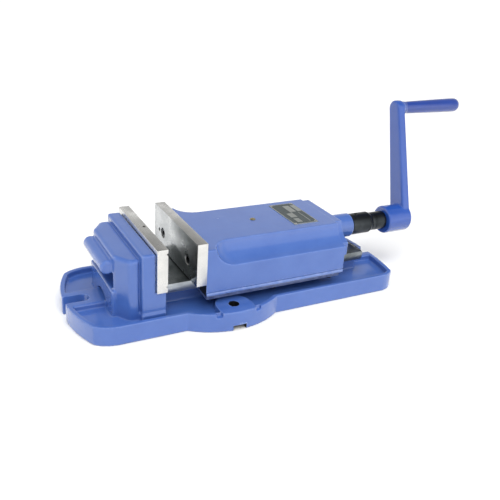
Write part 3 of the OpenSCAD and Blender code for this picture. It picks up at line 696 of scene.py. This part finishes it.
cap = round_head("plate_screw", 4, 17, 6.5, 8, 3.6, Vector((0, 0, 0)))
cap_twin = cap.copy()
cap_twin.data = cap.data.copy()
bpy.context.scene.collection.objects.link(cap_twin)
facing_crank = Matrix.Rotation(math.radians(90), 4, "Y")
facing_jaw = Matrix.Rotation(math.radians(-90), 4, "Y")
fixed_screws = copies(cap, [mm(-1, s * PLATE_SCREW_Y, PLATE_SCREW_Z) for s in (-1, 1)],
                      facing_crank)
fixed_screws.name = "fixed_plate_screws_look"
fit(fixed_screws, "base", black_oxide, "black_oxide", "fixed_plate_screws")
moving_screws = copies(cap_twin, [mm(JAW_GAP + 1, s * PLATE_SCREW_Y, PLATE_SCREW_Z)
                                  for s in (-1, 1)], facing_jaw)
moving_screws.name = "movable_plate_screws_look"
fit(moving_screws, "movable_jaw", black_oxide, "black_oxide", "movable_plate_screws")

# ---- Movable jaw ---------------------------------------------------------------------
# A long hollow casting that rides on the slideway and covers the spindle. A scooped hollow runs
# along both upper sides and starts with a ball end. A thin lip is cast along the skirt.

MOV_X0, MOV_X1, MOV_HALF, MOV_TOP, SKIRT_Z = 50.8, 255.8, 74.0, 100.0, 37.5
COVE_R, COVE_X, COVE_Z = 28.5, 90.8, 104.0
COVE_TO_TOP, FLAT_HALF, OILER_X = 4, 49.5, 149.8
COVE_Y = FLAT_HALF + math.sqrt(COVE_R ** 2 - COVE_TO_TOP ** 2)
# Three millimetres are left on both ends for machining.
housing = block("movable_jaw_look", mm(MOV_X0 - 3, -MOV_HALF, SKIRT_Z),
                mm(MOV_X1 + 3, MOV_HALF, MOV_TOP), 1.0, 2)
ball_nose = [(COVE_R - COVE_R * math.cos(a), COVE_R * math.sin(a))
             for a in (i * math.pi / 32 for i in range(17))]
coves = [turned("cove", mm(COVE_X - COVE_R, s * COVE_Y, COVE_Z),
                ball_nose + [(260, COVE_R), (260, 0)], 72) for s in (-1, 1)]
cut(housing, *coves)
sand_cast(housing, 1.0, 8, 0.4)
LIP_TOP, SLIDE_PLAY = SKIRT_Z + 4, 0.2
lips = [side_block("lip", s, (MOV_X0 + 0.3, MOV_X1 - 0.3), (60, 75.8), (SKIRT_Z, LIP_TOP), 0.9, 3)
        for s in (-1, 1)]
fuse(housing, *lips)
shadow_lines = [side_block("shadow_line", s, (MOV_X0 - 2, MOV_X1 + 2), (73.2, 80),
                           (LIP_TOP, LIP_TOP + 0.8)) for s in (-1, 1)]
slide_room = block("slide_room", mm(MOV_X0 - 5, -WAY_HALF - SLIDE_PLAY, SKIRT_Z - 5),
                   mm(MOV_X1 + 5, WAY_HALF + SLIDE_PLAY, WAY_TOP + SLIDE_PLAY))
cavity = block("cavity", mm(MOV_X0 + 16, -27, WAY_TOP - 3), mm(MOV_X1 - 11, 27, 93), 3)
bore = rod("bore", mm(MOV_X1 - 14, 0, 71), 20, 14.5)
front_seat = block("front_seat", mm(MOV_X0 - 5, -90, 30), mm(MOV_X0, 90, 120))
rear_seat = block("rear_seat", mm(MOV_X1, -90, 30), mm(MOV_X1 + 9, 90, 120))
drills = [rod("drill", mm(MOV_X0 - 1, s * PLATE_SCREW_Y, PLATE_SCREW_Z), 15, 4, 32)
          for s in (-1, 1)]
oil_hole = rod("oil_hole", mm(OILER_X, 0, 90), 20, 4, 32, **STANDING)
cut(housing, *shadow_lines, slide_room, cavity, bore, front_seat, rear_seat, *drills, oil_hole)
fit(housing, "movable_jaw", blue_enamel, "blue_enamel", "movable_jaw")
# The machined front seat, where it shows below the jaw plate, takes the near black bare iron: bare
# metal, and painted shade under the plate.
housing.data.materials.append(bare_iron_with_painted_shade)
for face in housing.data.polygons:
    if face.normal.x < -0.99 and abs(face.center.x - mm(MOV_X0, 0, 0).x) < 1e-4:
        face.material_index = 1

# ---- Oil plug ------------------------------------------------------------------------
# A small turned brass ball oiler pressed into the top of the movable jaw. Its spring ball
# stands just proud of the low flange round it.


def turned_metal(name, bright_hex, dull_hex, rough, spread):
    """Bright turned metal, finely grained by the tool, with an uneven film of oil and tarnish."""
    finish, tree, shader, place = new_finish(name)
    film = node(tree, "TexNoise", {"Vector": place, "Scale": 1 / spread, "Detail": 4.0,
                                   "Roughness": 0.6})
    tone = node(tree, "Mix", {"Factor": film.outputs["Fac"], "A": linear(bright_hex),
                              "B": linear(dull_hex)}, data_type="RGBA")
    tree.links.new(tone.outputs["Result"], shader.inputs["Base Color"])
    shader.inputs["Metallic"].default_value = 1.0
    shine = node(tree, "MapRange", {"Value": film.outputs["Fac"], "To Min": rough - 0.08,
                                    "To Max": rough + 0.1})
    tree.links.new(shine.outputs["Result"], shader.inputs["Roughness"])
    rings = node(tree, "TexNoise", {"Vector": place, "Scale": 1 / 0.0006, "Detail": 2.0})
    skin = node(tree, "Bump", {"Height": rings.outputs["Fac"], "Strength": 0.12,
                               "Distance": 0.00004})
    tree.links.new(skin.outputs["Normal"], shader.inputs["Normal"])
    return finish


brass = turned_metal("turned_brass", "#c9bd98", "#8d825a", 0.32, 0.003)
plug = turned("oil_plug_look", mm(OILER_X, 0, MOV_TOP - 5),
              [(0, 0), (0, 4), (5.4, 4), (5.8, 3.6), (5.8, 3.0), (6.4, 2.7), (6.4, 2.1),
               (5.7, 1.7), (5.7, 1.5), (6.0, 1.0), (6.2, 0)], 48, **STANDING)
fit(plug, "movable_jaw", brass, "brass", "oil_plug")

# ---- Nameplate -----------------------------------------------------------------------
# A thin aluminium plate, printed black with a bare metal border and blank bare panels, held to
# the housing by four small drive rivets. Nothing is written on it.

TAG_X, TAG_Y, TAG_T = (195.3, 232.8), (-36.5, 37.0), 0.9
BORDER, PRINT_SUNK, PANEL_RAISED, RIVET_IN = 1.4, 0.12, 0.1, 3.2
printed_black, tree, shader, place = new_finish("black_print_on_aluminium")
ink = node(tree, "TexNoise", {"Vector": place, "Scale": 1 / 0.005, "Detail": 4.0})
tone = node(tree, "Mix", {"Factor": ink.outputs["Fac"], "A": linear("#2b3334"),
                          "B": linear("#4b5556")}, data_type="RGBA")
tree.links.new(tone.outputs["Result"], shader.inputs["Base Color"])
shader.inputs["Roughness"].default_value = 0.42
grain = node(tree, "TexNoise", {"Vector": place, "Scale": 1 / 0.0008, "Detail": 2.0})
skin = node(tree, "Bump", {"Height": grain.outputs["Fac"], "Strength": 0.15,
                           "Distance": 0.00005})
tree.links.new(skin.outputs["Normal"], shader.inputs["Normal"])
bare_aluminium = ground_steel("brushed_aluminium", "#d9dcd8", "#b4b9b6",
                              0.02, (0.25, 12, 0.25), 0.38, 0.4)

tag = block("nameplate_look", mm(TAG_X[0], TAG_Y[0], MOV_TOP),
            mm(TAG_X[1], TAG_Y[1], MOV_TOP + TAG_T))
tag.data.materials.append(bare_aluminium)
tag.data.materials.append(printed_black)
bpy.ops.object.mode_set(mode="EDIT")
bpy.ops.mesh.select_all(action="DESELECT")
bpy.ops.object.mode_set(mode="OBJECT")
for face in tag.data.polygons:
    face.select = face.normal.z > 0.9
bpy.ops.object.mode_set(mode="EDIT")
bpy.ops.mesh.select_mode(type="FACE")
bpy.ops.mesh.inset(thickness=BORDER / 1000)
bpy.ops.mesh.extrude_region_move(TRANSFORM_OT_translate={"value": (0, 0, -PRINT_SUNK / 1000)})
tag.active_material_index = 1
bpy.ops.object.material_slot_assign()
# Cuts across the printed field part it into panels, and some of the panels stay bare metal.
for x in (203.5, 212.0, 214.0, 222.5, 224.5):
    bpy.ops.mesh.select_all(action="SELECT")
    bpy.ops.mesh.bisect(plane_co=mm(x, 0, 0), plane_no=(1, 0, 0))
for y in (-31.0, -17.0, -13.5, 2.0, 5.0, 29.0):
    bpy.ops.mesh.select_all(action="SELECT")
    bpy.ops.mesh.bisect(plane_co=mm(0, y, 0), plane_no=(0, 1, 0))
bpy.ops.mesh.select_all(action="DESELECT")
bpy.ops.object.mode_set(mode="OBJECT")
panels = [(203.5, 212.0, -31.0, -17.0), (212.0, 214.0, -13.5, 29.0), (222.5, 224.5, -31.0, 2.0),
          (214.0, 222.5, 5.0, 29.0), (224.5, 232.0, 5.0, 29.0), (203.5, 212.0, -13.5, 2.0)]
for face in tag.data.polygons:
    printed = face.normal.z > 0.9 and face.center.z < mm(0, 0, MOV_TOP + TAG_T - PRINT_SUNK / 2).z
    in_panel = any(mm(x0, 0, 0).x < face.center.x < mm(x1, 0, 0).x
                   and y0 < face.center.y * 1000 < y1 for x0, x1, y0, y1 in panels)
    face.select = printed and in_panel
bpy.ops.object.mode_set(mode="EDIT")
bpy.ops.mesh.inset(thickness=0.0003)
bpy.ops.mesh.extrude_region_move(TRANSFORM_OT_translate={"value": (0, 0, PANEL_RAISED / 1000)})
tag.active_material_index = 0
bpy.ops.object.material_slot_assign()
bpy.ops.object.mode_set(mode="OBJECT")
fit(tag, "movable_jaw", None, "plate_black", "nameplate")
rivet_steel = turned_metal("plated_rivet_steel", "#e0e0dc", "#b8bab8", 0.25, 0.002)
rivet = turned("rivet", Vector((0, 0, -0.0035)),
               [(0, 0), (0, 1), (4.4, 1), (4.4, 1.7), (4.75, 1.5), (5.0, 1.0), (5.1, 0)],
               24, **STANDING)
rivets = copies(rivet, [mm(x, y, MOV_TOP) for x in (TAG_X[0] + RIVET_IN, TAG_X[1] - RIVET_IN)
                        for y in (TAG_Y[0] + RIVET_IN, TAG_Y[1] - RIVET_IN)])
rivets.name = "nameplate_rivets_look"
fit(rivets, "movable_jaw", rivet_steel, "rivet_steel", "nameplate_rivets")

# ---- Retaining strips ----------------------------------------------------------------
# Two enamelled steel bars, screwed up against the jaw's skirts from below, painted dark as the shade
# there.
# A step along each one's inner edge reaches under the slideway and keeps the jaw from lifting.

STRIP_X, STRIP_T, STRIP_IN = (MOV_X0 + 2, MOV_X1 - 3), 7, 41
STRIP_SCREWS_X, STRIP_SCREW_Y = (12, 102, 190), 62
# Painted shade: the strips' enamel is a near black blue for the deep shade under the skirt's lip.
shade_dark_enamel = enamel("enamel_darkened_as_painted_shade", "#1b2a5e", "#253668", 0.3)

for side, body_part in ((-1, "front"), (1, "back")):
    strip = side_block(f"{body_part}_retaining_strip_look", side, STRIP_X, (STRIP_IN, 71),
                       (SKIRT_Z - STRIP_T, SKIRT_Z), 0.8, 2)
    fuse(strip, side_block("strip_step", side, STRIP_X, (STRIP_IN, 52.6),
                           (SKIRT_Z - 3, WEB_TOP - 0.16), 0.3, 1))
    cut(strip, *[rod("drill", mm(MOV_X0 + x, side * STRIP_SCREW_Y, SKIRT_Z - 10), 15, 3.05, 24,
                     **STANDING) for x in STRIP_SCREWS_X])
    fit(strip, "movable_jaw", shade_dark_enamel, "blue_enamel", f"{body_part}_retaining_strip")
strip_screw = round_head("strip_screw", 3, 15.6, 5, 4, 2.6, Vector((0, 0, 0.004)))
strip_screws = copies(strip_screw, [mm(MOV_X0 + x, s * STRIP_SCREW_Y, SKIRT_Z - STRIP_T)
                                    for x in STRIP_SCREWS_X for s in (-1, 1)],
                      Matrix.Rotation(math.pi, 4, "X"))
strip_screws.name = "retaining_screws_look"
fit(strip_screws, "movable_jaw", black_oxide, "black_oxide", "retaining_screws")

# ---- Rear cover ----------------------------------------------------------------------
# A separate casting on the back of the movable jaw, a little narrower than the jaw and with the
# same scooped sides. Its long round neck carries the spindle's bearing.

COVER_X1, NECK_X1, NECK_R, AXIS_Z, JOURNAL_R = 266.8, 311.8, 17.5, 71.0, 12.5
COVER_SCREWS = ((-50, 66), (50, 66), (-34, 90), (34, 90))
cover = block("rear_cover_look", mm(MOV_X1 - 4, -65, 57), mm(COVER_X1, 65, MOV_TOP), 0.8, 2)
cut(cover, *[rod("cove", mm(MOV_X1 - 5, s * (COVE_Y - 6), COVE_Z), 30, COVE_R, 96)
             for s in (-1, 1)])
neck = turned("neck", mm(COVER_X1 - 4, 0, AXIS_Z),
              [(0, 0), (0, 22.5), (4, 22.5), (5.0, 20.2), (7.5, 18.2), (11, NECK_R),
               (47.2, NECK_R), (49, NECK_R - 1.8), (49, 0)])
fuse(cover, neck)
sand_cast(cover, 0.7, 5, 0.5)
cover_tools = [rod("bore", mm(MOV_X1 - 5, 0, AXIS_Z), 80, JOURNAL_R + 0.05),
               rod("washer_seat", mm(NECK_X1 - 3, 0, AXIS_Z), 8, 15),
               block("face_cut", mm(MOV_X1 - 10, -90, 40), mm(MOV_X1, 90, 120)),
               block("neck_cut", mm(NECK_X1, -30, 40), mm(NECK_X1 + 10, 30, 100))]
cover_tools += [turned("cover_drill", mm(MOV_X1 - 1, y, z),
                       [(0, 0), (0, 3.2), (7, 3.2), (7, 5.4), (20, 5.4), (20, 0)], 32)
                for y, z in COVER_SCREWS]
cut(cover, *cover_tools)
fit(cover, "movable_jaw", blue_enamel, "blue_enamel", "rear_cover")
cover_screw = round_head("cover_screw", 3, 13.6, 4.875, 6, 2.7, Vector((0, 0, 0.006)))
cover_screws = copies(cover_screw, [mm(COVER_X1 - 5, y, z) for y, z in COVER_SCREWS], facing_crank)
cover_screws.name = "cover_screws_look"
fit(cover_screws, "movable_jaw", black_oxide, "black_oxide", "cover_screws")

# ---- Spindle and its collars ---------------------------------------------------------
# The turned screw spindle pushes and pulls the movable jaw through two collars. The outer collar
# and the long sleeve beside it are black oxide, with bevelled ends and a small set screw.

COLLAR_X0, COLLAR_X1, COLLAR_R, SLEEVE_R = 312.0, 344.8, 15.8, 13.6
collar = turned("outer_collar_look", mm(COLLAR_X0, 0, AXIS_Z),
                [(0, JOURNAL_R), (0, COLLAR_R - 1), (1, COLLAR_R), (30.4, COLLAR_R),
                 (30.9, COLLAR_R - 0.5), (31.5, COLLAR_R), (32.4, COLLAR_R - 0.2),
                 (36.4, SLEEVE_R + 0.2), (36.8, SLEEVE_R - 0.2), (36.8, JOURNAL_R),
                 (0, JOURNAL_R)], 96)
cut(collar, rod("set_hole", mm(COLLAR_X0 + 11.8, 0, AXIS_Z), 20, 3, 32, **STANDING))
fit(collar, "spindle", black_oxide, "black_oxide", "outer_collar")
sleeve = turned("spindle_sleeve_look", mm(COLLAR_X1 + 4.3, 0, AXIS_Z),
                [(0, JOURNAL_R), (0, SLEEVE_R - 0.5), (0.5, SLEEVE_R), (6.0, SLEEVE_R),
                 (6.4, SLEEVE_R - 0.4), (6.8, SLEEVE_R), (24, SLEEVE_R),
                 (24.5, SLEEVE_R - 0.5), (24.5, JOURNAL_R), (0, JOURNAL_R)], 96)
fit(sleeve, "spindle", black_oxide, "black_oxide", "spindle_sleeve")

turned_steel = turned_metal("turned_bright_steel", "#c9cac8", "#8f9290", 0.28, 0.012)
bronze = turned_metal("machined_bronze", "#c79a5c", "#8e6a3a", 0.35, 0.01)
# The plain pieces on and round the spindle keep their engineered shape and take a finish only.
for name, finish in (("spindle", turned_steel), ("inner_collar", turned_steel),
                     ("inner_collar_pin", turned_steel), ("crank_end_washer", turned_steel),
                     ("grip_pin", turned_steel), ("spindle_nut", bronze),
                     ("inner_thrust_washer", bronze), ("outer_thrust_washer", bronze),
                     ("nut_screws", black_oxide), ("outer_collar_screw", black_oxide),
                     ("crank_lock_screw", black_oxide), ("crank_end_bolt", black_oxide)):
    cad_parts[name].data.materials.clear()
    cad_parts[name].data.materials.append(finish)

# ---- Crank ---------------------------------------------------------------------------
# A cast arm with a long round hub on the spindle's square end. It tapers to a round boss that
# holds the grip, and every edge is soft. Its enamel is a shade deeper than the vise's own.

HUB_X0, HUB_L, HUB_R = 373.8, 43.0, 21.0
ARM_X0, ARM_T, TIP_R, ROOT_HALF, ROOT_DROP, CRANK_R = 403.3, 13.5, 11.5, 17.0, 6, 165.5
LEAN = math.radians(16)
crank_enamel = enamel("gloss_enamel_on_the_crank", "#1f4a9f", "#2952a6", 0.2)


def lean_over(piece):
    """Turns a piece that was made upright round the spindle's axis, to the crank's place."""
    piece.data.transform(Matrix.Translation(mm(0, 0, AXIS_Z)) @ Matrix.Rotation(-LEAN, 4, "X")
                         @ Matrix.Translation(-mm(0, 0, AXIS_Z)))
    return piece


arm = first_point("crank_look", mm(ARM_X0, -ROOT_HALF, AXIS_Z - ROOT_DROP))
line_to(Vector((0, 2 * ROOT_HALF, 0)) / 1000)
line_to(Vector((0, TIP_R - ROOT_HALF, CRANK_R + ROOT_DROP)) / 1000)
bpy.ops.mesh.spin(steps=24, angle=math.pi, center=mm(ARM_X0, 0, AXIS_Z + CRANK_R), axis=(-1, 0, 0))
line_to(Vector((0, TIP_R - ROOT_HALF, -CRANK_R - ROOT_DROP)) / 1000)
raise_outline((ARM_T / 1000, 0, 0))
bpy.ops.mesh.select_all(action="SELECT")
bpy.ops.mesh.normals_make_consistent(inside=False)
bpy.ops.object.mode_set(mode="OBJECT")
apply(arm, "BEVEL", width=0.0032, segments=4, limit_method="ANGLE",
      angle_limit=math.radians(50))
hub = turned("hub", mm(HUB_X0, 0, AXIS_Z),
             [(0, 0), (0, HUB_R - 2.5), (0.8, HUB_R - 0.8), (2.5, HUB_R), (HUB_L - 2.5, HUB_R),
              (HUB_L - 0.8, HUB_R - 0.8), (HUB_L, HUB_R - 2.5), (HUB_L, 0)], 72)
tip_boss = rod("tip_boss", mm(ARM_X0 + ARM_T - 2, 0, AXIS_Z + CRANK_R), 3.6, TIP_R - 1, 48)
fuse(arm, hub, tip_boss)
sand_cast(arm, 0.75, 10, 0.5)
SQUARE_HALF = 8.5
crank_tools = [block("square_hole", mm(HUB_X0 - 2, -SQUARE_HALF, AXIS_Z - SQUARE_HALF),
                     mm(HUB_X0 + HUB_L - 8, SQUARE_HALF, AXIS_Z + SQUARE_HALF)),
               rod("bolt_hole", mm(HUB_X0 + 32, 0, AXIS_Z), 20, 3.5, 32),
               rod("pin_hole", mm(ARM_X0 + 3, 0, AXIS_Z + CRANK_R), 30, 5, 32),
               rod("screw_hole", mm(HUB_X0 + 12, 0, AXIS_Z + 5), 30, 3, 32, **STANDING)]
cut(arm, *crank_tools)
lean_over(arm)
fit(arm, "spindle", crank_enamel, "crank_enamel", "crank")

# ---- Grip ----------------------------------------------------------------------------
# A hollow handle that turns freely on its pin, slightly swelling towards its rounded free end,
# with a rolled ring next to the crank's arm. Its thick enamel is a deeper blue than the arm's.

GRIP_X0, GRIP_L, GRIP_R, GRIP_BORE, HEAD_ROOM = 420.3, 110.5, 10.5, 5.05, 6.6
end_ball = [(GRIP_L - GRIP_R + GRIP_R * math.sin(a), GRIP_R * math.cos(a))
            for a in (i * math.pi / 24 for i in range(1, 13))]
grip_outside = [(0, GRIP_BORE), (0, 8.6), (0.5, 9.1), (1.4, 9.4), (2.6, 9.3), (3.3, 8.8),
                (4.0, 8.7), (7, 9.1), (25, 9.5), (60, 10.1), (GRIP_L - 24, GRIP_R),
                (GRIP_L - GRIP_R, GRIP_R)]
grip_inside = [(GRIP_L - 5, 0), (GRIP_L - 7.3, HEAD_ROOM), (GRIP_L - 12.4, HEAD_ROOM),
               (GRIP_L - 12.4, GRIP_BORE), (0, GRIP_BORE)]
grip = turned("grip_look", mm(GRIP_X0, 0, AXIS_Z + CRANK_R),
              grip_outside + end_ball + grip_inside, 72)
lean_over(grip)
grip_enamel = enamel("deep_enamel_on_the_handle", "#0c3488", "#143d93", 0.18)
fit(grip, "grip", grip_enamel, "crank_enamel", "grip")
# The thin washer between the arm and the handle was sprayed over with the arm.
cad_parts["grip_washer"].data.materials.clear()
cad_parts["grip_washer"].data.materials.append(crank_enamel)
